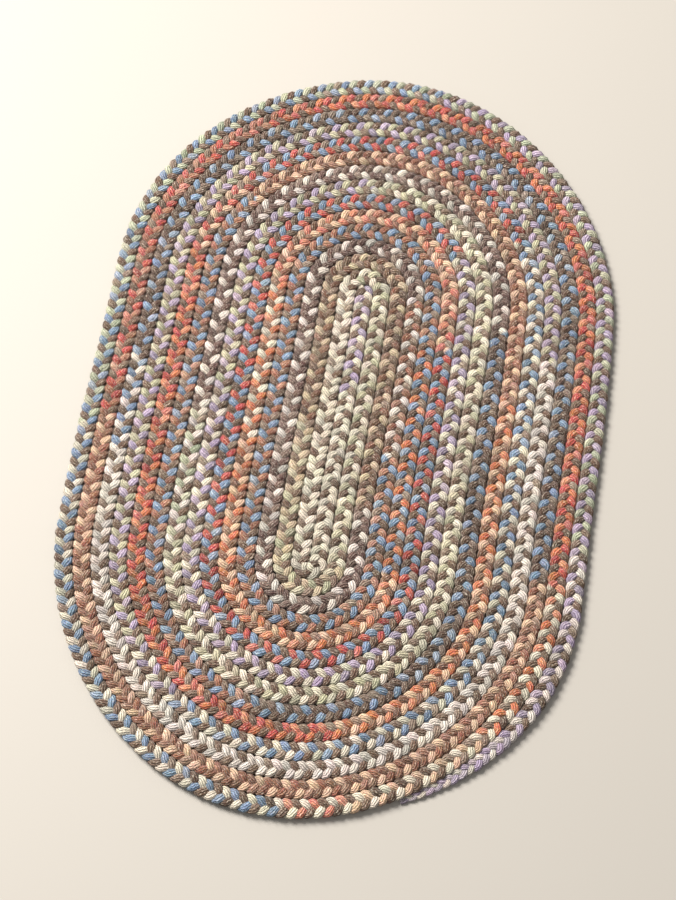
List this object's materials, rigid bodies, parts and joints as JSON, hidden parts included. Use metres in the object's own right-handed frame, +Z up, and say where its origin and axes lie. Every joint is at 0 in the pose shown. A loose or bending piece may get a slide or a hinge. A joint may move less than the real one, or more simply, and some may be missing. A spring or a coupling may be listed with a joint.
{
  "type": "braided rug",
  "caption": "Flat oval rug coiled from one multicoloured three-strand yarn braid, with a tapered end laid against the outer round.",
  "frame": {"origin": "middle of the rug's length and width, at floor level", "axes": "+Y along the rug's length to the end where the braid starts, +X across its width, +Z up out of the face"},
  "size_m": [0.5844, 0.913, 0.011],
  "materials": {
    "wool_yarn": "matte wool yarn in blended colours"
  },
  "bodies": {
    "root": {"braided_rug": "wool_yarn"}
  },
  "joints": []
}
